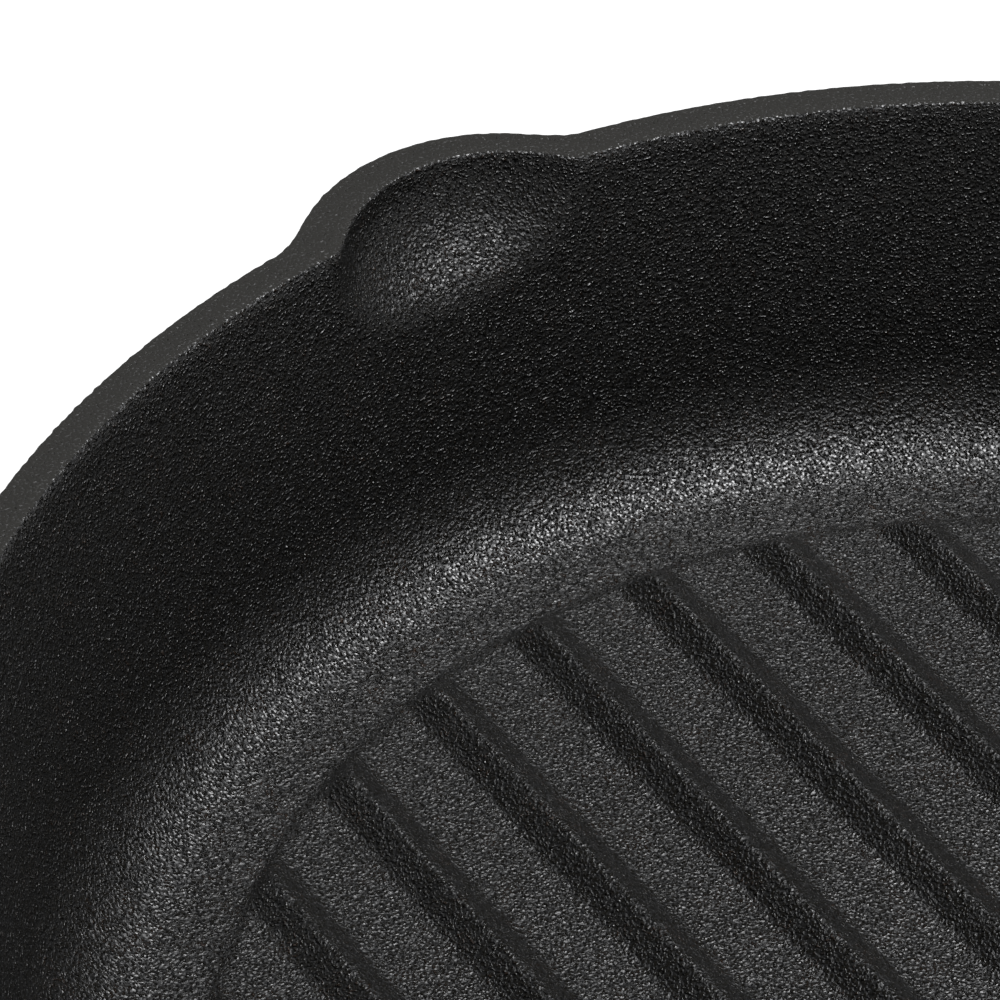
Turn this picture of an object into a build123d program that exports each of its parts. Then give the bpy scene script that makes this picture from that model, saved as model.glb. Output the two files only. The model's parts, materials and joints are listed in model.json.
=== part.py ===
from build123d import *
import os
from math import cos, hypot, radians, sin, tan

# A round cast iron grill pan with a wooden handle, in millimetres.
# The origin is the centre of the base's underside, +Z is up, the handle points towards -Y,
# and the two pour lips are on -X and +X, in line with the ribs.

# Casting: the bowl
rim_radius = 130.0
pan_height = 47.0
rim_width = 4.7
floor_thickness = 4.5
wall_lean = 16.4
inner_corner_radius = 14.0
foot_bevel = 7.7

# Casting: the pour lips, scooped out of the wall on both sides
lip_reach = 7.4
lip_radius = 20.3
lip_depth = 12.5
lip_curve_share = 0.65
lip_sections = 5
lip_inner_blend = 3.0
lip_outer_blend = 5.0

# Casting: the ribs, which stand on a ribbed field a little above the gutter round it
rib_count = 12
rib_pitch = 16.6
rib_height = 2.5
rib_crest_half_width = 1.2
rib_foot_half_width = 3.6
rib_crest_round = 2.4
rib_foot_blend = 3.0
rib_end_radius = 95.6
rib_end_slope = 45.0
field_step = 0.4

# Casting: the handle neck, from the wall to the round seat of the handle
handle_tilt = 9.0
seat_distance = 55.0
seat_height = 38.0
seat_radius = 12.2
neck_root_height = 31.0
neck_root_width = 58.0
neck_root_thickness = 25.0
neck_waist_width = 24.0
neck_waist_thickness = 17.0
neck_flare_share = 0.22
neck_waist_share = 0.62
tapped_depth = 20.0

# Handle
ferrule_length = 22.0
ferrule_radius = 13.0
ferrule_wall = 1.2
grip_length = 125.0
grip_sides = 8
grip_across_flats = 32.0
grip_shares = ((0, 0.86), (0.15, 0.82), (0.58, 1), (0.87, 0.85), (1, 0.83))
grip_end_chamfer = 2.4
rod_radius = 3.0
rod_chamfer = 0.6
thread_engagement = 18.0
cap_radius = 9.6
cap_thickness = 1.6
spring_washer_radius = 5.9
spring_washer_thickness = 1.6
spring_washer_gap = 18.0

# Eye nut and hanging ring
eye_collar_radius = 7.0
eye_collar_length = 12.5
eye_radius = 8.2
eye_hole_radius = 3.9
eye_thickness = 5.4
eye_bore_depth = 7.0
ring_radius = 15.0
ring_width = 3.6
ring_thickness = 2.6

# Fits
thread_clearance = 0.05
tenon_clearance = 0.05
rod_bore_clearance = 0.4
ring_clearance = 0.5
overrun = 6.0

# Sizes worked out from the ones above
lean_slope = tan(radians(wall_lean))
inner_rim_radius = rim_radius - rim_width
lip_centre = rim_radius + lip_reach - rim_width - lip_radius
lip_foot_centre = inner_rim_radius - lip_depth * lean_slope - lip_radius
field_height = floor_thickness + field_step
rib_top = field_height + rib_height
seat_radius_from_axis = rim_radius + seat_distance
grip_start = ferrule_length
grip_end = grip_start + grip_length
cap_top = grip_end + cap_thickness
washer_top = cap_top + spring_washer_thickness
eye_centre = washer_top + eye_collar_length + eye_hole_radius
rod_hole_radius = rod_radius + rod_bore_clearance
thread_hole_radius = rod_radius + thread_clearance
ring_drop = eye_hole_radius - hypot(ring_width, ring_thickness) / 2 - ring_clearance

handle_direction = (0, -cos(radians(handle_tilt)), sin(radians(handle_tilt)))
handle_plane = Plane(
    origin=(0, -seat_radius_from_axis, seat_height), x_dir=(1, 0, 0), z_dir=handle_direction
)


def on_handle(piece):
    """A piece modelled along +Z from the seat's face, placed on the handle's axis."""
    return handle_plane.location * piece


def turned(outline):
    """A solid turned about +Z from a closed outline of (radius, height) lines."""
    return revolve(Plane.YZ * make_face(outline), Axis.Z)


def bar(start, end, radius):
    """A round bar along +Z from start to end."""
    return Pos(0, 0, start) * Cylinder(radius, end - start, align=(Align.CENTER, Align.CENTER, Align.MIN))


def outer_form():
    """The outside of the bowl as a solid: a flat foot, a bevel round it and the leaning wall."""
    corner_radius = rim_radius - pan_height * lean_slope
    bevel_top = foot_bevel * cos(radians(wall_lean))
    return turned(Polyline(
        (0, 0), (corner_radius - foot_bevel, 0), (corner_radius + bevel_top * lean_slope, bevel_top),
        (rim_radius, pan_height), (0, pan_height), close=True,
    ))


def inner_form():
    """The space in the bowl, up past the rim: a flat floor, a rounded corner and the leaning wall."""
    corner = (inner_rim_radius - (pan_height - floor_thickness) * lean_slope, floor_thickness)
    top = (inner_rim_radius + overrun * lean_slope, pan_height + overrun)
    middle = (0, floor_thickness)
    half_section = FilletPolyline(middle, corner, top, radius=inner_corner_radius)
    return turned(half_section + Polyline(top, (0, pan_height + overrun), middle))


def lip_slug(side, radius, rise):
    """A round slug on one side of the pan that curves inward as it falls, as a spoon's bowl does."""
    fall = lip_depth + overrun
    circles = []
    for index in range(lip_sections):
        depth = fall - (fall + rise) * index / (lip_sections - 1)
        share = depth / lip_depth
        inward = (lip_centre - lip_foot_centre) * share * (1 - lip_curve_share + lip_curve_share * share)
        middle = (side * (lip_centre - inward), 0, pan_height - depth)
        circles.append(Plane(middle, x_dir=(-side, 0, 0)) * Circle(radius))
    return loft(circles)


def with_lips(body, radius, rise, blend):
    """The dish with a slug fused on each side and the crease between each slug and the wall blended."""
    for side in (-1, 1):
        body += lip_slug(side, radius, rise)
    creases = body.edges().filter_by(GeomType.BSPLINE).sort_by(Axis.Z)[:2]
    return fillet(creases, blend)


def neck():
    """The cast neck: flared where it leaves the wall, waisted, and round at the handle's seat."""
    start = Vector(0, 2 * rim_width - inner_rim_radius, neck_root_height)
    end = Vector(*handle_plane.origin)
    tilt = Vector(*handle_direction)
    flare = ((neck_root_width + neck_waist_width) / 2, (neck_root_thickness + neck_waist_thickness) / 2)
    spine = Bezier(start, start + Vector(0, -seat_distance / 2, 0), end - tilt * seat_distance / 2, end)
    sections = []
    for share, width, thickness in (
        (0, neck_root_width, neck_root_thickness),
        (neck_flare_share, *flare),
        (neck_waist_share, neck_waist_width, neck_waist_thickness),
        (1, 2 * seat_radius, 2 * seat_radius),
    ):
        plane = Plane(origin=spine @ share, x_dir=(1, 0, 0), z_dir=spine % share)
        sections.append(plane * Ellipse(width / 2, thickness / 2))
    return loft(sections)


def rib_field():
    """The ribbed field: a low plate with every rib on it, trimmed to a circle with sloping ends."""
    plate_bottom = floor_thickness - overrun / 4
    half_width = rib_count * rib_pitch / 2
    corners = [(-half_width, field_height)]
    rounds = []
    for index in range(rib_count):
        middle = (index - (rib_count - 1) / 2) * rib_pitch
        corners += [
            (middle - rib_foot_half_width, field_height), (middle - rib_crest_half_width, rib_top),
            (middle + rib_crest_half_width, rib_top), (middle + rib_foot_half_width, field_height),
        ]
        rounds += [rib_foot_blend, rib_crest_round, rib_crest_round, rib_foot_blend]
    corners.append((half_width, field_height))
    top = FilletPolyline(*corners, radius=rounds)
    bottom = Polyline(corners[0], (-half_width, plate_bottom), (half_width, plate_bottom), corners[-1])
    comb = make_face(top + bottom)
    ribs = extrude(Plane.YZ * comb, rib_end_radius, both=True)
    fall = (rib_top - floor_thickness) / tan(radians(rib_end_slope))
    trim = turned(Polyline(
        (0, plate_bottom), (rib_end_radius, plate_bottom), (rib_end_radius, floor_thickness),
        (rib_end_radius - fall, rib_top), (0, rib_top), close=True,
    ))
    return ribs & trim


def pan():
    """The one casting: bowl, flat rim, pour lips, ribs and handle neck with its tapped hole."""
    outside = with_lips(outer_form(), lip_radius + rim_width, 0, lip_outer_blend)
    inside = with_lips(inner_form(), lip_radius, overrun, lip_inner_blend)
    casting = outside + neck() - inside + rib_field()
    return casting - on_handle(bar(-tapped_depth, overrun, thread_hole_radius))


def ferrule():
    """The steel collar round the grip's tenon: a plain tube against the neck's seat."""
    inner_radius = ferrule_radius - ferrule_wall
    return on_handle(bar(0, ferrule_length, ferrule_radius) - bar(0, ferrule_length, inner_radius))


def grip():
    """The eight-sided wooden grip, with a round tenon in the ferrule and a bore for the rod."""
    sections = []
    for length_share, width_share in grip_shares:
        flat_radius = width_share * grip_across_flats / 2
        outline = RegularPolygon(flat_radius, grip_sides, major_radius=False, rotation=180 / grip_sides)
        sections.append(Pos(0, 0, grip_start + length_share * grip_length) * outline)
    wood = loft(sections)
    wood = chamfer(wood.edges().filter_by_position(Axis.Z, grip_end, grip_end), grip_end_chamfer)
    wood += bar(0, grip_start + overrun, ferrule_radius - ferrule_wall - tenon_clearance)
    return on_handle(wood - bar(0, grip_end + overrun, rod_hole_radius))


def tie_rod():
    """The steel rod from the tapped neck through the grip into the eye nut, with chamfered ends."""
    rod = bar(-thread_engagement, washer_top + eye_bore_depth - rod_chamfer, rod_radius)
    ends = rod.edges().filter_by(GeomType.CIRCLE)
    return on_handle(chamfer(ends, rod_chamfer))


def end_cap():
    """The flat steel cap on the grip's end face."""
    return on_handle(bar(grip_end, cap_top, cap_radius) - bar(grip_end, cap_top, rod_hole_radius))


def spring_washer():
    """The split spring washer under the eye nut, closed flat."""
    middle = (rod_hole_radius + spring_washer_radius) / 2
    section = Pos(middle, (cap_top + washer_top) / 2) * Rectangle(
        spring_washer_radius - rod_hole_radius, spring_washer_thickness
    )
    return on_handle(revolve(Plane.YZ * section, Axis.Z, 360 - spring_washer_gap))


def eye_nut():
    """The eye nut: a tapered collar with a blind tapped bore, and a flat round eye across it."""
    collar_top = eye_centre - (eye_radius + eye_hole_radius) / 2
    collar = turned(Polyline(
        (0, washer_top), (eye_collar_radius, washer_top), (eye_thickness / 2, collar_top), (0, collar_top),
        close=True,
    ))
    eye = Cylinder(eye_radius, eye_thickness) - Cylinder(eye_hole_radius, eye_thickness)
    nut = collar + Pos(0, 0, eye_centre) * Rot(0, 90, 0) * eye
    return on_handle(nut - bar(washer_top, washer_top + eye_bore_depth, thread_hole_radius))


def ring_pivot():
    """Where the ring hangs in the eye: the middle of the ring's band at its top."""
    return handle_plane.from_local_coords(Vector(0, 0, eye_centre)) - Vector(0, 0, ring_drop)


def hanging_ring():
    """The flat steel ring, hanging straight down from the eye."""
    band = Cylinder(ring_radius + ring_width / 2, ring_thickness)
    band -= Cylinder(ring_radius - ring_width / 2, ring_thickness)
    hung = ring_pivot() - Vector(0, 0, ring_radius)
    return Pos(*hung) * Rot(90, 0, 0) * band


pieces = {
    "pan": pan,
    "ferrule": ferrule,
    "grip": grip,
    "tie_rod": tie_rod,
    "end_cap": end_cap,
    "spring_washer": spring_washer,
    "eye_nut": eye_nut,
    "hanging_ring": hanging_ring,
}

os.makedirs("parts", exist_ok=True)
for name, make in pieces.items():
    export_step(make(), f"parts/{name}.step")
print("ring pivot", tuple(round(value, 3) for value in ring_pivot()))
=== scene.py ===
"""The dressed model of a round cast iron grill pan with a wooden handle.

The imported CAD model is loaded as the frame. Each sub-assembly that shows is a class that works out
finer surfaces on the same places, and a studio lights them and frames them as the photograph does.
Sizes are in millimetres, and a mesh is made in metres at the end.
"""

import json
import logging
import math
from dataclasses import dataclass, field
from enum import Enum
from typing import Any

import bmesh
import bpy
import numpy as np
from bpy.types import ID, Material, Mesh, Node, NodeSocket, Object
from mathutils import Matrix, Vector

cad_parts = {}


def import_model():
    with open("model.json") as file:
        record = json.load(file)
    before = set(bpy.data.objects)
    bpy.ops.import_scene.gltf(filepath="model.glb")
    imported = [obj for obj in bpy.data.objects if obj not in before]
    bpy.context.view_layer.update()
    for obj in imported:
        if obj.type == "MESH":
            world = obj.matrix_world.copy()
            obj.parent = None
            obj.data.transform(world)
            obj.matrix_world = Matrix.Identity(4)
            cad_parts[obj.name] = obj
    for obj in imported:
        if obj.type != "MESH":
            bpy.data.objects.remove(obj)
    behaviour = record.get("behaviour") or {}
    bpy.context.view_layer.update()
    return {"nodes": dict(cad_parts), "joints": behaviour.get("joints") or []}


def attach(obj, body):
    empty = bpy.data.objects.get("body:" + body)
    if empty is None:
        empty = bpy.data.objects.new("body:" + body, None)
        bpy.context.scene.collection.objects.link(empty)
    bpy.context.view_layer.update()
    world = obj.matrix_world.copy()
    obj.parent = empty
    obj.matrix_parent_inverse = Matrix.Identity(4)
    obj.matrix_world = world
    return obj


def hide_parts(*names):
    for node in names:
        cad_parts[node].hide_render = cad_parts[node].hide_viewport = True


log = logging.getLogger("grill_pan")

METRES = 0.001
WELD_METRES = 2e-6
RIPPLE_SINES = 40

Array = np.ndarray
Values = np.ndarray | float
Span = tuple[float, float]
Triple = tuple[float, float, float]
Colour = tuple[float, float, float, float]
Table = tuple[Span, ...]


class Body(str, Enum):
    """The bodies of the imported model."""

    PAN = "pan"
    RING = "ring"


class Slot(str, Enum):
    """The record's material slots, passed along with the new pieces."""

    IRON = "cast_iron"
    COLLAR = "collar_steel"
    WOOD = "handle_wood"
    EYE = "eye_steel"


def smooth_max(first: Array, second: Values, width: float) -> Array:
    """The larger of two values, rounded where they lie within width of each other.

    It is the larger one plus width / 4 times the square of (1 - difference / width), which is 0
    outside that band.

    Args:
        first: one set of values.
        second: the other set, or one value for all.
        width: how wide the rounded band is, in the same unit.

    Returns:
        The blended values.
    """
    near = np.maximum(width - np.abs(first - second), 0.0) / width
    return np.maximum(first, second) + near * near * width / 4


def smooth_min(first: Array, second: Values, width: float) -> Array:
    """The smaller of two values, rounded as smooth_max does."""
    return -smooth_max(-first, -second, width)


def ripple(angles: Array, lowest: int, highest: int, seed: int) -> Array:
    """A closed uneven line of about unit height: a sum of sines of whole turns with random phases.

    The sines are spread evenly from the fewest waves to the most, and their sum is divided by the
    root of the sum of their squared heights.

    Args:
        angles: where it is wanted, in radians.
        lowest: the fewest waves in a full turn.
        highest: the most waves in a full turn.
        seed: the seed of the phases and heights.

    Returns:
        One height per angle.
    """
    random = np.random.default_rng(seed)
    waves = np.arange(lowest, highest, max(1, (highest - lowest) // RIPPLE_SINES))
    phases = random.uniform(0, 2 * np.pi, len(waves))
    heights = random.uniform(0.4, 1.0, len(waves))
    total = (heights * np.sin(angles[:, None] * waves + phases)).sum(axis=1)
    return total / np.sqrt((heights**2).sum())


def full_turn(steps: int) -> Array:
    """The angles of an even full turn in radians, without the last one, which would be the first again."""
    return np.linspace(0, 2 * np.pi, steps + 1)[:-1]


def coordinates(x: Values, y: Values, z: Values) -> Array:
    """Points from their coordinates, spread to one shape, with the coordinate as the last axis."""
    return np.stack(np.broadcast_arrays(x, y, z), axis=-1)


def polar(radius: Values, angles: Array, height: Values) -> Array:
    """Points at (radius cos angle, radius sin angle, height), with the angles in radians."""
    return coordinates(radius * np.cos(angles), radius * np.sin(angles), height)


def soft_outline(points: list[Span], reaches: list[float], steps: int = 6) -> Array:
    """An open outline whose inner corners are rounded.

    A corner c becomes the quadratic Bezier curve a (1 - t)^2 + 2 c t (1 - t) + b t^2, where a and b lie
    one reach before and after it.

    Args:
        points: the outline's corners as (radius, height).
        reaches: one rounding reach per inner corner.
        steps: points per rounded corner.

    Returns:
        The outline's points as (count, 2).
    """
    corners = np.array(points, dtype=float)
    t = np.linspace(0, 1, steps)[:, None]
    parts = [corners[:1]]
    for before, corner, after, reach in zip(corners, corners[1:], corners[2:], reaches):
        start = corner + (before - corner) * reach / np.linalg.norm(before - corner)
        end = corner + (after - corner) * reach / np.linalg.norm(after - corner)
        parts.append(start * (1 - t) ** 2 + corner * 2 * t * (1 - t) + end * t**2)
    return np.concatenate([*parts, corners[-1:]])


def turned(outline: Array, columns: int = 96) -> Array:
    """An outline of (radius, along) turned round the handle's axis: (r cos a, r sin a, along)."""
    return polar(outline[:, :1], full_turn(columns), outline[:, 1:])


def shaded(colour: Colour, share: float) -> Colour:
    """A colour times a share, and opaque."""
    return (*(share * part for part in colour[:3]), 1.0)


def in_scene(name: str, data: ID) -> Object:
    """A new object that carries the data, in the scene's own collection.

    Args:
        name: the object's name.
        data: its mesh, lamp or camera.

    Returns:
        The object.
    """
    made = bpy.data.objects.new(name, data)
    bpy.context.scene.collection.objects.link(made)
    return made


class Skin:
    """Gathers grids of points, in millimetres, into one welded mesh."""

    def __init__(self) -> None:
        """Start with no points."""
        self.points: list[Array] = []
        self.quads: list[Array] = []
        self.count = 0

    def add(self, grid: Array, closed: bool = False) -> "Skin":
        """Add a grid of points whose neighbours are joined by quads.

        Args:
            grid: the points as (rows, columns, 3).
            closed: True joins the last column to the first.

        Returns:
            The skin itself.
        """
        rows, columns = grid.shape[:2]
        here = np.arange(rows * columns).reshape(rows, columns) + self.count
        beside = np.roll(here, -1, axis=1)
        if not closed:
            here, beside = here[:, :-1], beside[:, :-1]
        quads = np.stack([here[:-1], beside[:-1], beside[1:], here[1:]], axis=-1)
        self.points.append(grid.reshape(-1, 3))
        self.quads.append(quads.reshape(-1, 4))
        self.count += rows * columns
        return self

    def mesh(self, name: str, material: Material) -> Mesh:
        """Weld the grids into a smooth mesh.

        Args:
            name: the mesh's name.
            material: its finish.

        Returns:
            The mesh, in metres.
        """
        points = np.concatenate(self.points) * METRES
        quads = np.concatenate(self.quads)
        mesh = bpy.data.meshes.new(name)
        mesh.vertices.add(len(points))
        mesh.vertices.foreach_set("co", points.ravel())
        mesh.loops.add(quads.size)
        mesh.loops.foreach_set("vertex_index", quads.ravel())
        mesh.polygons.add(len(quads))
        mesh.polygons.foreach_set("loop_start", np.arange(0, quads.size, 4))
        mesh.update(calc_edges=True)
        welded = bmesh.new()
        welded.from_mesh(mesh)
        bmesh.ops.remove_doubles(welded, verts=welded.verts, dist=WELD_METRES)
        bmesh.ops.recalc_face_normals(welded, faces=welded.faces)
        for face in welded.faces:
            face.smooth = True
        welded.to_mesh(mesh)
        welded.free()
        mesh.materials.append(material)
        return mesh

    def made(self, name: str, body: Body, slot: Slot, material: Material, *nodes: str) -> Object:
        """Weld the grids into a piece that rides on a body and stands for CAD nodes.

        Args:
            name: the piece's name.
            body: the body it moves with.
            slot: not used.
            material: its finish.
            nodes: the CAD nodes that it replaces.

        Returns:
            The new object.
        """
        mesh = self.mesh(name, material)
        piece = in_scene(name, mesh)
        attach(piece, body.value)
        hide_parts(*nodes)
        log.info("%s: %d faces", name, len(mesh.polygons))
        return piece


class Graph:
    """A material's node graph, with the nodes' inputs given as values or as other nodes' outputs."""

    def __init__(self, name: str) -> None:
        """Start a material whose graph holds its output alone.

        Args:
            name: the material's name.
        """
        self.material = bpy.data.materials.new(name)
        self.material.use_nodes = True
        self.nodes = self.material.node_tree.nodes
        self.links = self.material.node_tree.links
        self.nodes.clear()
        self.output = self.add("ShaderNodeOutputMaterial")

    def add(self, kind: str, values: dict[str | int, Any] | None = None, **settings: Any) -> Node:
        """Add a node.

        Args:
            kind: the node's type.
            values: its inputs by name or number, each a value or a socket to link.
            settings: its properties.

        Returns:
            The node.
        """
        node = self.nodes.new(kind)
        for key, value in settings.items():
            setattr(node, key, value)
        for key, value in (values or {}).items():
            if isinstance(value, NodeSocket):
                self.links.new(value, node.inputs[key])
            else:
                node.inputs[key].default_value = value
        return node

    def math(self, operation: str, first: Any, second: Any = 0.0) -> NodeSocket:
        """The output of a Math node on two values or sockets."""
        return self.add("ShaderNodeMath", {0: first, 1: second}, operation=operation).outputs[0]

    def mix(self, share: Any, first: Any, second: Any) -> NodeSocket:
        """A mix of two colours or sockets, where the share says how much of the second there is."""
        return self.add("ShaderNodeMix", {0: share, 6: first, 7: second}, data_type="RGBA").outputs[2]

    def millimetres(self, tilt: float = 0.0, stretch: Triple = (1, 1, 1)) -> NodeSocket:
        """The object's own coordinates in millimetres, turned about X and then stretched.

        Args:
            tilt: the turn about X, in radians.
            stretch: a factor for each axis; a pattern on a factor below 1 is drawn out along it.

        Returns:
            The coordinates' socket.
        """
        place = self.add("ShaderNodeTexCoord").outputs["Object"]
        leaning = self.add("ShaderNodeMapping", {"Vector": place, "Rotation": (tilt, 0, 0)}).outputs[0]
        scale = tuple(factor / METRES for factor in stretch)
        return self.add("ShaderNodeMapping", {"Vector": leaning, "Scale": scale}).outputs[0]

    def noise(self, place: NodeSocket, scale: float, detail: float = 2.0, rough: float = 0.5) -> NodeSocket:
        """A noise from 0 to 1, given its waves per unit, its finer layers and how rough they are."""
        values = {"Vector": place, "Scale": scale, "Detail": detail, "Roughness": rough}
        return self.add("ShaderNodeTexNoise", values).outputs["Fac"]

    def ramp(
        self, value: NodeSocket, low: float, high: float, start: float = 0.0, end: float = 1.0
    ) -> NodeSocket:
        """A value mapped from low..high to start..end, and held at the ends."""
        values = {"Value": value, "From Min": low, "From Max": high, "To Min": start, "To Max": end}
        return self.add("ShaderNodeMapRange", values).outputs[0]

    def finish(self, surface: dict[str | int, Any], height: NodeSocket, depth: float) -> Material:
        """Close the graph with a Principled surface and its bump.

        Args:
            surface: the Principled inputs.
            height: the bump's height, where 1 stands depth high.
            depth: that height in millimetres.

        Returns:
            The material.
        """
        bump = self.add("ShaderNodeBump", {"Height": height, "Distance": depth * METRES, "Strength": 1.0})
        shader = self.add("ShaderNodeBsdfPrincipled", {**surface, "Normal": bump.outputs[0]})
        self.links.new(shader.outputs[0], self.output.inputs[0])
        return self.material


@dataclass(frozen=True)
class SeasonedIron:
    """Seasoned black cast iron, grainy as it left the sand, with its top ground flat."""

    ground_from: float
    lumps_per_mm: float = 1.9
    lumps_mm: float = 0.13
    lumps_bend: float = 0.3
    grain_per_mm: float = 3.0
    grain_mm: float = 0.4
    grain_span: Span = (0.4, 0.8)
    roughness: float = 0.235
    crease_span: Span = (0.3, 0.6)
    crease_roughness: float = 0.5
    ground_wobble: float = 0.06
    ground_relief: float = 0.12
    ground_roughness: float = 0.9
    patches_per_mm: float = 0.25
    worn_span: Span = (0.35, 0.7)
    worn_share: float = 0.3
    worn_tone: float = 0.75
    speck_span: Span = (0.62, 0.7)
    speck_patches: Span = (0.56, 0.64)
    speck_share: float = 0.5
    specular: float = 0.86
    # painted shade: the near-black colour that the creases take, standing in for the light that does not
    # reach them
    painted_crease_shade: Colour = (0.0008, 0.0008, 0.0008, 1)
    black: Colour = (0.009, 0.0079, 0.0058, 1)
    ground: Colour = (0.0105, 0.0094, 0.0062, 1)
    rust: Colour = (0.06, 0.032, 0.018, 1)

    def lumps(self, graph: Graph, place: NodeSocket) -> NodeSocket:
        """The distance from the middle of the nearest lump, in lumps, with the lumps bent by a noise.

        Args:
            graph: the material's graph.
            place: the coordinates in millimetres.

        Returns:
            The distance's socket.
        """
        waves = {"Vector": place, "Scale": 2 * self.lumps_per_mm, "Detail": 0.0}
        bend = graph.add("ShaderNodeTexNoise", waves).outputs["Color"]
        reach = (self.lumps_bend / self.lumps_per_mm,) * 3
        moved = graph.add("ShaderNodeVectorMath", {0: bend, 1: reach}, operation="MULTIPLY").outputs[0]
        bent = graph.add("ShaderNodeVectorMath", {0: place, 1: moved}, operation="ADD").outputs[0]
        cells = {"Vector": bent, "Scale": self.lumps_per_mm}
        return graph.add("ShaderNodeTexVoronoi", cells).outputs["Distance"]

    def material(self) -> Material:
        """The finish: low lumps with creases between them, steep sparse grains and rust specks.

        With d the distance from the middle of a lump and u the fine noise, stretched over 0 to 1, the
        relief is grain * u^3 - lumps * d^2. The creases are duller than the lumps, and their colour is
        painted darker, a painted shade for the light that reaches them less. Above ground_from lies the
        ground band, which is duller, far smoother and worn in patches, and whose lower edge wobbles with
        the noise.

        Returns:
            The material.
        """
        graph = Graph("seasoned_iron")
        place = graph.millimetres()
        fine = graph.noise(place, self.grain_per_mm, 0.0)
        patches = graph.noise(place, self.patches_per_mm)
        steep = graph.math("POWER", graph.ramp(fine, *self.grain_span), 3.0)
        away = self.lumps(graph, place)
        sunk = graph.math("MULTIPLY", graph.math("MULTIPLY", away, away), self.lumps_mm)
        relief = graph.math("SUBTRACT", graph.math("MULTIPLY", steep, self.grain_mm), sunk)
        # the crease mask: it darkens the colour with painted shade and dulls the roughness
        crease = graph.ramp(away, *self.crease_span)
        height = graph.add("ShaderNodeSeparateXYZ", {0: place}).outputs[2]
        wobble = graph.ramp(fine, 0.3, 0.7, -self.ground_wobble, self.ground_wobble)
        edge = graph.math("ADD", height, wobble)
        top = graph.ramp(edge, self.ground_from, self.ground_from + self.ground_wobble)
        spots, where = graph.ramp(fine, *self.speck_span), graph.ramp(patches, *self.speck_patches)
        specks = graph.math("MULTIPLY", graph.math("MULTIPLY", spots, where), self.speck_share)
        # painted shade: the creases are darkened towards the near-black painted colour
        iron = graph.mix(crease, self.black, self.painted_crease_shade)
        rusty = graph.mix(specks, iron, self.rust)
        worn = graph.ramp(patches, *self.worn_span, 0, self.worn_share)
        bare = graph.mix(worn, self.ground, shaded(self.ground, self.worn_tone))
        dull = graph.ramp(crease, 0, 1, self.roughness, self.crease_roughness)
        surface = {
            "Base Color": graph.mix(top, rusty, bare),
            "Roughness": graph.math("MAXIMUM", dull, graph.math("MULTIPLY", top, self.ground_roughness)),
            "Specular IOR Level": self.specular,
        }
        kept = graph.ramp(top, 0, 1, 1, self.ground_relief)
        return graph.finish(surface, graph.math("MULTIPLY", relief, kept), 1.0)


@dataclass(frozen=True)
class BrushedSteel:
    """Bare steel brushed round an axis that leans about X."""

    name: str
    tilt: float
    colour: Colour = (0.5, 0.49, 0.47, 1)
    roughness: float = 0.3
    lines_per_mm: float = 5.0
    lines_stretch: Triple = (0.1, 0.1, 1)
    lines_mm: float = 0.02
    patches_per_mm: float = 0.12
    patch_share: float = 0.5
    patch_tone: float = 0.7
    patch_roughness: float = 0.15

    def material(self) -> Material:
        """The finish: fine lines round the axis and a few darker and duller patches.

        Returns:
            The material.
        """
        graph = Graph(self.name)
        lines = graph.noise(graph.millimetres(self.tilt, self.lines_stretch), self.lines_per_mm, 3.0, 0.6)
        patches = graph.noise(graph.millimetres(), self.patches_per_mm, 3.0)
        dark = graph.ramp(patches, 0.3, 0.75, 0, self.patch_share)
        dull = graph.ramp(patches, 0.3, 0.7, self.roughness, self.roughness + self.patch_roughness)
        tone = graph.mix(dark, self.colour, shaded(self.colour, self.patch_tone))
        return graph.finish({"Base Color": tone, "Metallic": 1.0, "Roughness": dull}, lines, self.lines_mm)


@dataclass(frozen=True)
class OiledWood:
    """Oiled brown wood with its grain along the handle."""

    tilt: float
    light: Colour = (0.33, 0.17, 0.08, 1)
    dark: Colour = (0.15, 0.065, 0.028, 1)
    bands_stretch: Triple = (0.45, 0.45, 0.018)
    bands_span: Span = (0.34, 0.66)
    pores_stretch: Triple = (5.0, 5.0, 0.22)
    pores_span: Span = (0.58, 0.68)
    pores_share: float = 0.7
    pores_tone: float = 0.45
    roughness: Span = (0.38, 0.52)
    relief_mm: float = 0.06

    def material(self) -> Material:
        """The finish: long uneven bands, short dark pores that are sunk a little, and a slight sheen.

        Returns:
            The material.
        """
        graph = Graph("oiled_wood")
        bands = graph.noise(graph.millimetres(self.tilt, self.bands_stretch), 1.0, 5.0, 0.6)
        pores = graph.noise(graph.millimetres(self.tilt, self.pores_stretch), 1.0, 2.0, 0.6)
        pore = graph.ramp(pores, *self.pores_span)
        wood = graph.mix(graph.ramp(bands, *self.bands_span), self.light, self.dark)
        share = graph.math("MULTIPLY", pore, self.pores_share)
        surface = {
            "Base Color": graph.mix(share, wood, shaded(self.dark, self.pores_tone)),
            "Roughness": graph.ramp(bands, 0.3, 0.7, *self.roughness),
        }
        return graph.finish(surface, graph.math("SUBTRACT", bands, pore), self.relief_mm)


@dataclass(frozen=True)
class HandleAxis:
    """The handle's axis: it leaves the neck's seat towards -Y and rises by a few degrees."""

    seat_distance: float = 185.0
    seat_height: float = 38.0
    tilt_degrees: float = 9.0

    @property
    def tilt(self) -> float:
        """The rise in radians."""
        return math.radians(self.tilt_degrees)

    @property
    def mapping_turn(self) -> float:
        """The turn about X that lays the axis along a pattern's Z."""
        return self.tilt - math.pi / 2

    def placed(self, points: Array) -> Array:
        """Points given as (x, up, along) from the seat's centre, moved to the pan's frame.

        y = -seat distance - along cos tilt + up sin tilt, z = seat height + along sin tilt + up cos tilt.

        Args:
            points: the points, with the coordinate as the last axis.

        Returns:
            The moved points.
        """
        across, up, along = points[..., 0], points[..., 1], points[..., 2]
        back = -self.seat_distance - along * math.cos(self.tilt) + up * math.sin(self.tilt)
        high = self.seat_height + along * math.sin(self.tilt) + up * math.cos(self.tilt)
        return coordinates(across, back, high)


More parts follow.
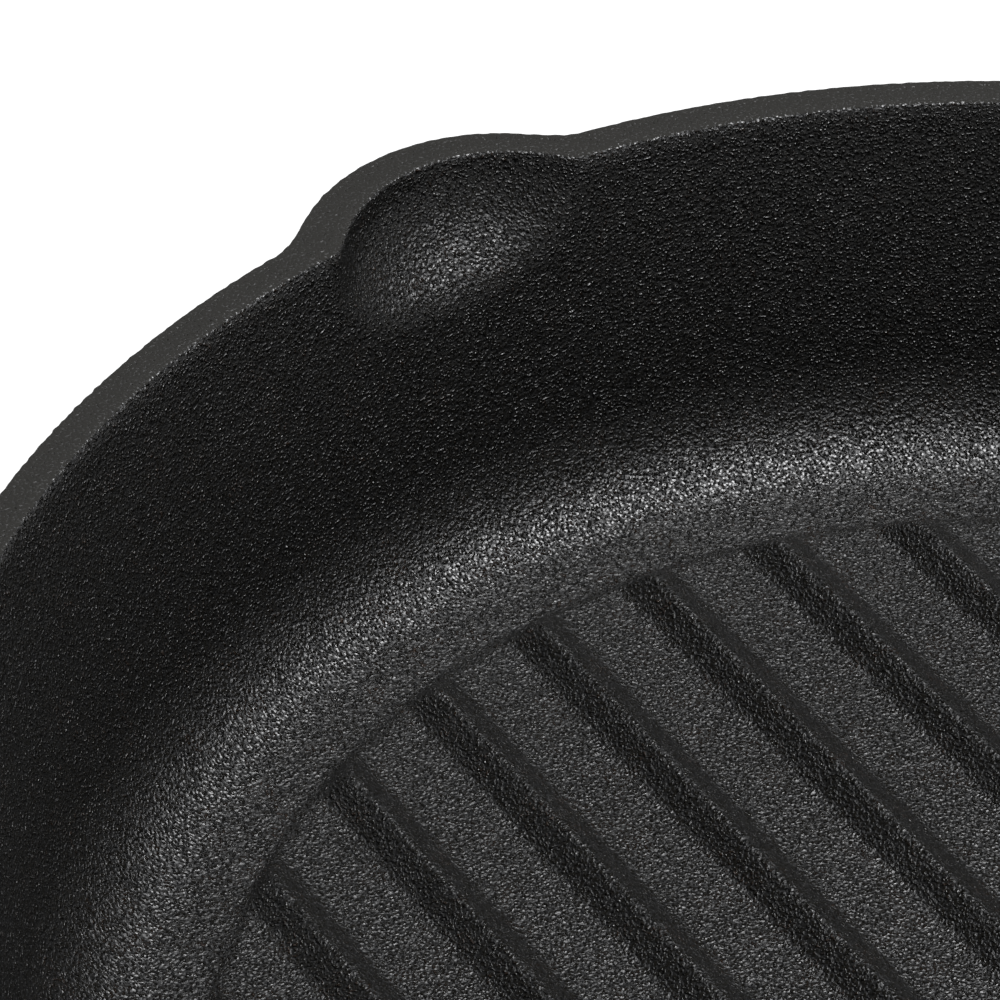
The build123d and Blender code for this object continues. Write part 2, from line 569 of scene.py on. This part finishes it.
@dataclass
class PanCasting:
    """The one casting: the ribbed floor, the leaning wall with its two pour lips, the rim and the neck.

    rib_rows are distances from a rib's middle, and end_rows the first, last and step of the turns in
    degrees. field_fall is how far the field takes to fall beside a rib, and what that gains per pitch.
    The neck's tables give its half width and half height at shares of its length.
    """

    axis: HandleAxis
    rim_radius: float = 130.0
    height: float = 47.0
    rim_width: float = 4.7
    rim_edge: float = 0.5
    ground_depth: float = 0.08
    lean: float = math.radians(16.4)
    inner_wall_rows: int = 23
    outer_wall_rows: int = 12
    outer_wall_start: float = 1.2
    floor: float = 4.5
    floor_columns: int = 19
    floor_circles: tuple[float, ...] = (
        91.0, 91.8, 92.4, 92.9, 93.4, 93.9, 94.4, 94.9, 95.3, 95.7, 96.2, 97.0,
    )
    gutter_start: float = 98.5
    gutter_rows: int = 3
    corner_radius: float = 14.0
    corner_rows: int = 11
    rib_count: int = 12
    rib_pitch: float = 16.6
    rib_height: float = 2.5
    rib_crest: float = 0.25
    rib_crest_blend: float = 0.5
    rib_foot: float = 3.8
    rib_foot_blend: float = 0.6
    rib_end: float = 95.6
    rib_end_round: float = 1.3
    rib_cut_blend: float = 0.3
    rib_rows: tuple[float, ...] = (
        0, 0.3, 0.6, 1.0, 1.5, 2.0, 2.5, 3.0, 3.3, 3.6, 3.9, 4.3, 4.9, 5.7, 6.6, 7.5, 8.3,
    )
    end_rows: Triple = (64, 90, 0.6)
    field_step: float = 0.4
    field_fall: Span = (0.8, 2.5)
    lip_centre: float = 112.4
    lip_radius: float = 20.3
    lip_depth: float = 12.0
    lip_curve_share: float = 1.0
    lip_inner_shift: float = -2.8
    lip_inner_blend: float = 1.4
    lip_outer_shift: float = -1.5
    lip_outer_blend: float = 3.0
    burr: float = 0.065
    burr_waves: tuple[int, int] = (150, 620)
    burr_seed: int = 3
    burr_steps: int = 1800
    burr_section: tuple[Triple, ...] = (
        (-1.6, -0.3, 0), (-1.0, 0.01, 0), (-0.9, 0.02, 0), (-0.25, 0.02, 0.6), (-0.12, 0.01, 0.8),
        (0, -0.12, 1), (0, -0.5, 1), (-0.25, -1.0, 0), (-1.6, -0.3, 0),
    )
    plain_below: float = 16.0
    foot_bevel: float = 7.7
    foot_rounds: Span = (2.5, 2.0)
    base_radii: tuple[float, ...] = (90.0, 60.0, 30.0, 0.0)
    neck_widths: Table = ((0, 22.0), (0.15, 17.5), (0.35, 13.8), (0.6, 12.0), (0.8, 11.9), (1, 12.2))
    neck_heights: Table = ((0, 10.5), (0.2, 9.6), (0.45, 8.7), (0.6, 8.5), (0.8, 9.6), (1, 12.2))
    neck_root_height: float = 30.5
    neck_fillet: float = 5.0
    neck_fillet_rows: int = 8
    neck_rows: int = 24
    neck_inset: float = 5.0
    neck_sunk: float = 0.3
    rows: Array = field(init=False)
    angles: Array = field(init=False)

    def __post_init__(self) -> None:
        """Work out the floor's rows and the angles at which they meet the gutter."""
        self.rows = self.floor_rows()
        right = np.arcsin(self.rows / self.gutter_start)
        self.angles = np.concatenate([right, np.pi - right[::-1][1:-1]])

    @property
    def slope(self) -> float:
        """How far the wall comes in for each millimetre down."""
        return math.tan(self.lean)

    def floor_rows(self) -> Array:
        """The Y of each row of the floor.

        The rows lie at fixed distances from each rib's middle, close together on its flanks. Near both
        ends of the floor they lie at even turns of the gutter's circle instead, y = r sin turn.

        Returns:
            The rows' Y, from the lowest to the highest.
        """
        offsets = np.array(self.rib_rows)
        middles = (np.arange(self.rib_count) - (self.rib_count - 1) / 2) * self.rib_pitch
        ribs = (middles[:, None] + np.concatenate([-offsets, offsets])).ravel()
        turns = self.gutter_start * np.sin(np.radians(np.arange(*self.end_rows)))
        inside = np.concatenate([ribs[np.abs(ribs) < turns[0]], turns, -turns])
        return np.concatenate([[-self.gutter_start], np.unique(np.round(inside, 3)), [self.gutter_start]])

    def floor_height(self, x: Array, y: Array) -> Array:
        """The floor's height: ribs that end on a circle with a slope of 45 degrees, on a low field.

        A rib's flank is a straight line from crest to foot, softly limited by 0 and the rib's height,
        and softly cut by the slope, which is 0 on the circle. The field falls by its step along half a
        cosine across the circle, quickly beside a rib and slowly halfway between two.

        Args:
            x: the points' X.
            y: the points' Y.

        Returns:
            The height of each point.
        """
        from_rib = np.abs((y / self.rib_pitch + 0.5 * self.rib_count) % 1.0 - 0.5) * self.rib_pitch
        flank = self.rib_height * (self.rib_foot - from_rib) / (self.rib_foot - self.rib_crest)
        rib = smooth_min(smooth_max(flank, 0.0, self.rib_foot_blend), self.rib_height, self.rib_crest_blend)
        inside = self.rib_end - np.hypot(x, y)
        cut = smooth_min(rib, inside, self.rib_end_round)
        beside, between = self.field_fall
        fall = beside + between * from_rib / self.rib_pitch
        field_height = self.field_step * (0.5 + 0.5 * np.sin(np.pi * np.clip(inside / fall, -0.5, 0.5)))
        return self.floor + field_height + smooth_max(cut, 0.0, self.rib_cut_blend)

    def floor_grid(self) -> Array:
        """The floor inside the gutter: rows of one Y, with columns at even shares and then on circles.

        x = share * sqrt(a^2 - y^2) inside the first circle a, and sqrt(r^2 - y^2) on each circle r
        from there out to the gutter.

        Returns:
            The grid of points.
        """
        circles = np.array([*self.floor_circles, self.gutter_start])
        y = self.rows[:, None]
        half = np.sqrt(np.maximum(circles**2 - y**2, 0))
        inner, outer = np.linspace(-1, 1, self.floor_columns) * half[:, :1], half[:, 1:]
        x = np.concatenate([-outer[:, ::-1], inner, outer], axis=1)
        return coordinates(x, y, self.floor_height(x, y))

    def walled(self, angles: Array, depth: float, wall: float, shift: float, blend: float) -> Array:
        """The radius at each angle, where the leaning wall and a hollow on each side blend.

        A hollow is a circle about (c, shift), and its far side along an angle a is
        c cos a + shift sin a + sqrt(radius^2 - (c sin a - shift cos a)^2). With s the share of the
        hollow's depth and k the curve's share, its centre c comes in by (1 - k) s + k s^2 of what lets
        it end flush with the wall at its foot, so that the hollow is steep at the rim and flatter
        below, as a spoon is.

        Args:
            angles: where the radius is wanted.
            depth: how far below the rim.
            wall: how far outside the inner face, from 0 to the rim's width.
            shift: how far the hollow's centre lies along Y.
            blend: the width of the rounded crease between the two.

        Returns:
            The radius at each angle.
        """
        inner = self.rim_radius - self.rim_width
        radius = self.lip_radius + wall
        share = depth / self.lip_depth
        flush = self.lip_centre + self.lip_radius - inner + self.lip_depth * self.slope
        inward = flush * share * (1 - self.lip_curve_share + self.lip_curve_share * share)
        cosine, sine = np.cos(angles), np.sin(angles)
        centre = (self.lip_centre - inward) * np.sign(cosine)
        under = radius**2 - (centre * sine - shift * cosine) ** 2
        hollow = centre * cosine + shift * sine + np.sqrt(np.maximum(under, 0))
        cone = np.full_like(cosine, inner + wall - depth * self.slope)
        return smooth_max(cone, np.where(under > 0, hollow, 0.0), blend)

    def inner_radius(self, height: float) -> Array:
        """The inside's radius at each of the casting's angles, at one height.

        The hollows lie on the lips' middle at the rim and move off it by their depth's share of the
        shift.

        Args:
            height: the height above the base.

        Returns:
            The radii.
        """
        depth = self.height - height
        shift = self.lip_inner_shift * min(depth / self.lip_depth, 1.0)
        return self.walled(self.angles, depth, 0.0, shift, self.lip_inner_blend)

    def outer_radius(self, height: float, angles: Array) -> Array:
        """The outside's radius at each angle, at one height above the base."""
        depth = self.height - height
        return self.walled(angles, depth, self.rim_width, self.lip_outer_shift, self.lip_outer_blend)

    def inside_rows(self) -> list[Array]:
        """Rows from the gutter over the rounded corner and up the inner wall.

        The gutter is flat. The corner is an arc, (middle + r cos turn, floor + r + r sin turn), which
        ends where it touches the leaning wall, and the wall's rows follow inner_radius.

        Returns:
            The rows of points.
        """
        tangent = self.floor + self.corner_radius * (1 - math.sin(self.lean))
        cone = self.rim_radius - self.rim_width - (self.height - tangent) * self.slope
        middle = cone - self.corner_radius * math.cos(self.lean)
        gutter = np.linspace(self.gutter_start, middle, self.gutter_rows)
        rows = [polar(radius, self.angles, self.floor) for radius in gutter]
        for turn in np.linspace(-math.pi / 2, -self.lean, self.corner_rows)[1:]:
            radius = middle + self.corner_radius * math.cos(turn)
            rows.append(polar(radius, self.angles, self.floor + self.corner_radius * (1 + math.sin(turn))))
        for high in np.linspace(tangent, self.height - self.rim_edge, self.inner_wall_rows)[1:]:
            rows.append(polar(self.inner_radius(high), self.angles, high))
        return rows

    def rim_rows(self) -> list[Array]:
        """Rows over the ground rim, from its broken inner edge to its broken outer edge.

        Each edge is a quarter circle, and the rows on the flat between them lie at shares of its width.

        Returns:
            The rows of points.
        """
        inner, outer = self.inner_radius(self.height), self.outer_radius(self.height, self.angles)
        edge, rows = self.rim_edge, []
        for turn in np.radians([35, 65, 90]):
            high = self.height - edge * (1 - math.sin(turn))
            rows.append(polar(inner + edge * (1 - math.cos(turn)), self.angles, high))
        for share in (0.3, 0.6, 0.85):
            rows.append(polar(inner + edge + share * (outer - inner - 2 * edge), self.angles, self.height))
        for turn in np.radians([0, 35, 65, 90]):
            high = self.height - edge * (1 - math.cos(turn))
            rows.append(polar(outer - edge * (1 - math.sin(turn)), self.angles, high))
        return rows

    def burr_grid(self) -> Array:
        """The fine ragged edge that grinding left round the outside of the rim, as a thin closed band.

        Each row is one corner of the band's section, given as (outward, upward, share) from the rim's
        edge, where the share of the uneven line moves the corner out and in.

        Returns:
            The grid of points.
        """
        angles = full_turn(self.burr_steps)
        ragged = self.burr * ripple(angles, *self.burr_waves, self.burr_seed)
        edge = self.outer_radius(self.height, angles)
        rows = [polar(edge + out + share * ragged, angles, self.height + up)
                for out, up, share in self.burr_section]
        return np.stack(rows)

    def outside_rows(self) -> list[Array]:
        """Rows down the outer wall, round the bevelled foot and over the base to its middle.

        The wall's rows follow outer_radius down to where no lip reaches, and from there on the rows
        are circles on the outline of a cone, a bevel with rounded corners and a flat base.

        Returns:
            The rows of points.
        """
        foot = self.rim_radius - self.height * self.slope
        bevel_top = (foot + self.foot_bevel * math.sin(self.lean), self.foot_bevel * math.cos(self.lean))
        plain = (self.outer_radius(self.plain_below, self.angles).min(), self.plain_below)
        corners = [plain, bevel_top, (foot - self.foot_bevel, 0.0), (self.base_radii[0], 0.0)]
        outline = soft_outline(corners, list(self.foot_rounds), 4)[1:]
        walls = np.linspace(self.height - self.outer_wall_start, self.plain_below, self.outer_wall_rows)
        rows = [polar(self.outer_radius(high, self.angles), self.angles, high) for high in walls]
        rows += [polar(radius, self.angles, high) for radius, high in outline]
        return rows + [polar(radius, self.angles, 0.0) for radius in self.base_radii[1:]]

    def neck_grid(self) -> Array:
        """The neck: rows from the wall to the seat, each a closed oval with a small flare at the wall.

        A row's place runs from the wall's own surface to the seat's plane, eased by 3 s^2 - 2 s^3 with
        s its share of the way. Its half width and half height follow the neck's tables, and the flare
        is a quarter circle of the fillet.

        Returns:
            The grid of points.
        """
        around = full_turn(72)
        quarter = np.radians(np.linspace(0, 90, self.neck_fillet_rows))
        reach = self.axis.seat_distance - self.rim_radius + self.neck_inset
        straight = np.linspace(self.neck_fillet, reach, self.neck_rows)[1:]
        depth = np.concatenate([self.neck_fillet * (1 - np.cos(quarter)), straight])[:, None]
        flare = np.concatenate([self.neck_fillet * (1 - np.sin(quarter)), 0 * straight])[:, None]
        share = depth / reach
        x = (self.eased(self.neck_widths, share) + flare) * np.cos(around)
        up = (self.eased(self.neck_heights, share) + flare) * np.sin(around)
        tilt = self.axis.tilt * share**1.5
        rise = self.axis.seat_height - self.neck_root_height
        z = self.neck_root_height + rise * (0.55 * share + 0.45 * share**2) + up * np.cos(tilt)
        wall = np.sqrt((self.rim_radius - (self.height - z) * self.slope) ** 2 - x**2) - self.neck_sunk
        plane = self.axis.seat_distance - up * np.sin(tilt)
        ease = share**2 * (3 - 2 * share)
        y = (wall + depth) * (1 - ease) + (plane - (1 - share) * reach) * ease
        return coordinates(x, -y, z)

    @staticmethod
    def eased(table: Table, share: Array) -> Array:
        """Sizes read from a table, with its kinks smoothed by three running means that keep the ends.

        Args:
            table: pairs of (share, size).
            share: a column of the shares at which sizes are wanted.

        Returns:
            A column of sizes.
        """
        sizes = np.interp(share, *zip(*table))
        for _ in range(3):
            sizes = np.concatenate([sizes[:1], (sizes[:-2] + sizes[1:-1] + sizes[2:]) / 3, sizes[-1:]])
        return sizes

    def build(self) -> Object:
        """Make the casting as one piece that stands for the CAD casting.

        Returns:
            The casting.
        """
        neck = self.neck_grid()
        ends = [np.broadcast_to(end.mean(axis=0), end.shape)[None] for end in (neck[0], neck[-1])]
        skin = Skin().add(self.floor_grid())
        skin.add(np.stack([*self.inside_rows(), *self.rim_rows(), *self.outside_rows()]), closed=True)
        skin.add(self.burr_grid(), closed=True)
        skin.add(np.concatenate([ends[0], neck, ends[1]]), closed=True)
        iron = SeasonedIron(ground_from=self.height - self.ground_depth).material()
        return skin.made("pan_casting", Body.PAN, Slot.IRON, iron, "pan")


@dataclass
class Handle:
    """The pieces along the handle's axis, from the ferrule to the end cap."""

    axis: HandleAxis
    ferrule_length: float = 22.0
    ferrule_radius: float = 13.0
    ferrule_wall: float = 1.2
    ferrule_edge: float = 0.4
    grip_length: float = 125.0
    grip_across_flats: float = 32.0
    grip_shares: Table = ((0, 0.86), (0.15, 0.82), (0.58, 1), (0.87, 0.85), (1, 0.83))
    grip_start_edge: Span = (0.7, 0.2)
    grip_end_round: float = 2.4
    grip_corner: float = 1.062
    grip_corner_blend: float = 0.03
    tenon_clearance: float = 0.05
    cap_radius: float = 9.6
    cap_thickness: float = 1.6
    washer_thickness: float = 1.6
    rod_hole: float = 3.4

    @property
    def grip_end(self) -> float:
        """Where the wood ends, from the seat."""
        return self.ferrule_length + self.grip_length

    @property
    def nut_start(self) -> float:
        """Where the eye nut starts, behind the cap and the washer."""
        return self.grip_end + self.cap_thickness + self.washer_thickness

    def ferrule(self, steel: Material) -> Object:
        """The steel tube on the grip's tenon: its section, with broken edges, turned round the axis.

        Args:
            steel: its finish.

        Returns:
            The ferrule.
        """
        outer, length = self.ferrule_radius, self.ferrule_length
        inner = outer - self.ferrule_wall
        corners = [(inner, 1), (inner, 0), (outer, 0), (outer, length), (inner, length), (inner, 1)]
        outline = soft_outline(corners, [self.ferrule_edge] * 4)
        skin = Skin().add(self.axis.placed(turned(outline)), closed=True)
        return skin.made("ferrule_tube", Body.PAN, Slot.COLLAR, steel, "ferrule")

    def grip(self, wood: Material) -> Object:
        """The wooden grip: eight flats softened at their edges, bellied along its length.

        A row's radius is the flat's distance over the cosine of the turn from the flat's middle, softly
        limited by a circle a little outside the flats. The distance follows a curve of the fourth
        degree through the shares. The tenon's rows and the last two are plain circles.

        Args:
            wood: its finish.

        Returns:
            The grip.
        """
        shares = np.array(self.grip_shares)
        curve = np.polyfit(shares[:, 0], shares[:, 1] * self.grip_across_flats / 2, 4)
        along = np.linspace(0, self.grip_length - self.grip_end_round, 60)
        flat = np.polyval(curve, along / self.grip_length)
        ends = np.radians(np.linspace(0, 90, 7)[1:])
        end_flat = flat[-1] - self.grip_end_round * (1 - np.cos(ends))
        end_along = along[-1] + self.grip_end_round * np.sin(ends)
        tenon = self.ferrule_radius - self.ferrule_wall - self.tenon_clearance
        edge, half_edge = self.grip_start_edge
        start = [0, tenon, tenon, flat[0] - edge, flat[0] - half_edge]
        start_place = [-self.ferrule_length, -self.ferrule_length, 0, 0, half_edge]
        distance = np.concatenate([start, flat, end_flat, [self.cap_radius - 1, 0]])
        place = np.concatenate([start_place, along + edge, end_along, [self.grip_length] * 2])
        place = np.minimum(place, self.grip_length)[:, None]
        eight_sided = np.ones((len(distance), 1))
        eight_sided[:3] = eight_sided[-2:] = 0
        around = full_turn(144)
        from_flat = (around + np.pi / 8) % (np.pi / 4) - np.pi / 8
        corner = smooth_min(1 / np.cos(from_flat), self.grip_corner, self.grip_corner_blend)
        radius = distance[:, None] * (1 + eight_sided * (corner - 1))
        skin = Skin().add(self.axis.placed(polar(radius, around, place + self.ferrule_length)), closed=True)
        return skin.made("wooden_grip", Body.PAN, Slot.WOOD, wood, "grip")

    def end_cap(self, steel: Material) -> Object:
        """The steel cap on the grip's end: its section, with a rounded outer edge, turned round the axis.

        Args:
            steel: its finish.

        Returns:
            The cap.
        """
        low, high = self.grip_end, self.grip_end + self.cap_thickness
        hole, rim = self.rod_hole, self.cap_radius
        corners = [(hole, low + 0.5), (hole, low), (rim, low), (rim, high), (hole, high), (hole, low + 0.5)]
        outline = soft_outline(corners, [0.1, 0.1, 0.7, 0.2])
        skin = Skin().add(self.axis.placed(turned(outline)), closed=True)
        return skin.made("end_cap_disc", Body.PAN, Slot.COLLAR, steel, "end_cap")


@dataclass
class HangingEye:
    """The eye nut at the handle's end and the flat ring that swings in it."""

    axis: HandleAxis
    start: float
    collar_radius: float = 7.0
    collar_length: float = 12.5
    collar_edge: float = 0.5
    eye_radius: float = 8.2
    hole_radius: float = 3.9
    thickness: float = 5.4
    eye_edge: float = 1.0
    ring_radius: float = 15.0
    ring_width: float = 3.6
    ring_thickness: float = 2.6
    ring_edge: float = 0.6

    @property
    def eye_centre(self) -> float:
        """The eye's centre along the handle, from the seat."""
        return self.start + self.collar_length + self.hole_radius

    @staticmethod
    def hoop(
        radius: float, width: float, thickness: float, edge: float, steps: int
    ) -> tuple[Array, Array, Array]:
        """A rounded rectangle carried round a circle.

        With o and s the cosine and sine of the turn round the section, the section is
        radius + sign(o) (width / 2 - edge) + edge o, and sign(s) (thickness / 2 - edge) + edge s.

        Args:
            radius: the circle's radius.
            width: the rectangle's size along the radius.
            thickness: its size across the plane.
            edge: how far each corner is rounded.
            steps: how many steps the circle has.

        Returns:
            The grid's two coordinates in the circle's plane, and its offset from that plane.
        """
        turn = full_turn(40)
        out, side = np.cos(turn), np.sin(turn)
        radii = radius + np.sign(out) * (width / 2 - edge) + edge * out
        offsets = np.sign(side) * (thickness / 2 - edge) + edge * side
        around = np.linspace(0, 2 * np.pi, steps + 1)[:, None]
        return radii * np.cos(around), radii * np.sin(around), offsets

    def eye_nut(self, steel: Material) -> Object:
        """The eye nut: a turned collar that tapers into a flat eye, which is a hoop with rounded edges.

        Args:
            steel: its finish.

        Returns:
            The eye nut.
        """
        middle = (self.eye_radius + self.hole_radius) / 2
        top = self.eye_centre - middle
        foot, neck = (self.collar_radius, self.start), (self.thickness / 2, top)
        outline = soft_outline([(0.0, self.start), foot, neck, (0.0, top + 0.5)], [self.collar_edge] * 2)
        width = self.eye_radius - self.hole_radius
        up, along, across = self.hoop(middle, width, self.thickness, self.eye_edge, 72)
        skin = Skin().add(self.axis.placed(turned(outline, 64)), closed=True)
        skin.add(self.axis.placed(coordinates(across, up, self.eye_centre + along)), closed=True)
        return skin.made("hanging_eye", Body.PAN, Slot.EYE, steel, "eye_nut")

    def ring(self, pivot: Array, steel: Material) -> Object:
        """The flat ring, a hoop with broken edges that hangs straight down from its pivot.

        Args:
            pivot: the middle of the ring's band at its top, in the pan's frame.
            steel: its finish.

        Returns:
            The ring.
        """
        x, z, y = self.hoop(self.ring_radius, self.ring_width, self.ring_thickness, self.ring_edge, 120)
        centre = pivot - np.array([0, 0, self.ring_radius])
        skin = Skin().add(centre + coordinates(x, y, z), closed=True)
        return skin.made("swinging_ring", Body.RING, Slot.EYE, steel, "hanging_ring")


@dataclass
class Studio:
    """A pale floor and a far backdrop, one soft lamp overhead, and the photograph's camera.

    The camera's angles are in radians, and its shares are lengths in units of the rim's radius.
    """

    azimuth: float = 0.985
    elevation: float = 0.7269
    roll: float = 0.0167
    distance_share: float = 5.0279
    aside_share: float = -0.4782
    above_share: float = 0.5024
    unit: float = 130.0
    base_height: float = 5.67
    focal_pixels: float = 5841.65
    frame_pixels: float = 1000.0
    sensor: float = 36.0
    clip_metres: Span = (0.05, 60.0)
    floor_radii: Triple = (0.0, 600.0, 12000.0)
    floor_glow: float = 0.78
    backdrop_height: float = 2600.0
    backdrop_glow: float = 1.0
    lamp_size: float = 560.0
    lamp_distance: float = 1200.0
    lamp_azimuth: float = math.radians(107.0)
    lamp_elevation: float = math.radians(75.0)
    lamp_watts: float = 14.0
    lamp_colour: Triple = (0.98, 0.985, 1.0)
    sky: float = 0.03

    def camera(self) -> None:
        """Set up the camera at the photograph's angle and distance.

        It looks along the azimuth and elevation, is rolled about that direction, and stands back from
        the pan's middle, aside and above.
        """
        ca, sa = math.cos(self.azimuth), math.sin(self.azimuth)
        ce, se = math.cos(self.elevation), math.sin(self.elevation)
        right = Vector((ca, sa, 0))
        back = Vector((sa * ce, -ca * ce, se))
        above = back.cross(right)
        cr, sr = math.cos(self.roll), math.sin(self.roll)
        across, up = right * cr + above * sr, above * cr - right * sr
        place = (back * self.distance_share + across * self.aside_share + up * self.above_share) * self.unit
        place += Vector((0, 0, self.base_height))
        data = bpy.data.cameras.new("camera")
        data.sensor_width = self.sensor
        data.lens = self.focal_pixels / self.frame_pixels * self.sensor
        data.clip_start, data.clip_end = self.clip_metres
        camera = in_scene("camera", data)
        turn = Matrix((across, up, back)).transposed()
        camera.matrix_world = Matrix.Translation(place * METRES) @ turn.to_4x4()
        bpy.context.scene.camera = camera

    def lamp(self) -> None:
        """Hang the soft square lamp high over the pan, a little away from the handle.

        It faces the pan's middle from its azimuth, elevation and distance.
        """
        data = bpy.data.lights.new("overhead_softbox", "AREA")
        data.shape = "SQUARE"
        data.size = self.lamp_size * METRES
        data.energy = self.lamp_watts
        data.color = self.lamp_colour
        aside, high = math.cos(self.lamp_elevation), math.sin(self.lamp_elevation)
        towards = Vector((aside * math.cos(self.lamp_azimuth), aside * math.sin(self.lamp_azimuth), high))
        place = Matrix.Translation(towards * self.lamp_distance * METRES)
        turn = towards.to_track_quat("Z", "Y").to_matrix()
        in_scene("overhead_softbox", data).matrix_world = place @ turn.to_4x4()

    def pale(self, name: str, glow: float) -> Material:
        """A pale surface that lights the object as a plain diffuse one does.

        The camera, glossy and transmitted rays see it with an added glow.

        Args:
            name: the material's name.
            glow: the glow's strength, where 1 is white.

        Returns:
            The material.
        """
        graph = Graph(name)
        path = graph.add("ShaderNodeLightPath")
        seen = graph.math("MAXIMUM", path.outputs["Is Camera Ray"], path.outputs["Is Glossy Ray"])
        seen = graph.math("MAXIMUM", seen, path.outputs["Is Transmission Ray"])
        plain = graph.add("ShaderNodeBsdfDiffuse", {"Color": (0.8, 0.8, 0.8, 1)})
        shown = graph.add("ShaderNodeBsdfDiffuse", {"Color": (0.45, 0.45, 0.45, 1)})
        light = graph.add("ShaderNodeEmission", {"Color": (1, 1, 1, 1), "Strength": glow})
        both = graph.add("ShaderNodeAddShader", {0: shown.outputs[0], 1: light.outputs[0]})
        mixed = graph.add("ShaderNodeMixShader", {0: seen, 1: plain.outputs[0], 2: both.outputs[0]})
        graph.links.new(mixed.outputs[0], graph.output.inputs[0])
        return graph.material

    def stage(self) -> None:
        """Lay the floor as a disc under the pan, and stand the backdrop round its edge as a low wall.

        Both are rows of circles, (r cos a, r sin a, height).
        """
        around, edge = full_turn(96), self.floor_radii[-1]
        disc = np.stack([polar(radius, around, 0.0) for radius in self.floor_radii])
        wall = np.stack([polar(edge, around, high) for high in (0.0, self.backdrop_height)])
        for name, grid, glow in (("floor", disc, self.floor_glow), ("backdrop", wall, self.backdrop_glow)):
            piece = in_scene(name, Skin().add(grid, closed=True).mesh(name, self.pale(f"pale_{name}", glow)))

    def build(self) -> None:
        """Set up the plain view transform, the dim surroundings, the stage, the lamp and the camera."""
        scene = bpy.context.scene
        scene.view_settings.view_transform = "Standard"
        world = bpy.data.worlds.new("dim_room")
        world.use_nodes = True
        light = world.node_tree.nodes["Background"].inputs
        light["Color"].default_value = (1, 1, 1, 1)
        light["Strength"].default_value = self.sky
        scene.world = world
        self.stage()
        self.lamp()
        self.camera()


def main() -> None:
    """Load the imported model, build each piece on it, dress the nodes that stay, and light it all."""
    logging.basicConfig(level=logging.INFO, format="%(message)s")
    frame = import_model()
    axis = HandleAxis()
    turn = axis.mapping_turn
    collar_steel = BrushedSteel("collar_steel", turn).material()
    rod_steel = BrushedSteel("rod_steel", turn, (0.42, 0.42, 0.42, 1), 0.38).material()
    eye_steel = BrushedSteel("eye_steel", turn, (0.48, 0.48, 0.47, 1), 0.34, 2.0).material()
    PanCasting(axis).build()
    handle = Handle(axis)
    handle.ferrule(collar_steel)
    handle.grip(OiledWood(turn).material())
    handle.end_cap(collar_steel)
    eye = HangingEye(axis, start=handle.nut_start)
    eye.eye_nut(eye_steel)
    pivot = np.array(frame["joints"][0]["pos_m"]) / METRES
    eye.ring(pivot, eye_steel)
    for name in ("tie_rod", "spring_washer"):
        mesh = frame["nodes"][name].data
        mesh.materials.clear()
        mesh.materials.append(rod_steel)
        log.info("%s: kept, with new steel", name)
    Studio().build()


if __name__ == "__main__":
    main()
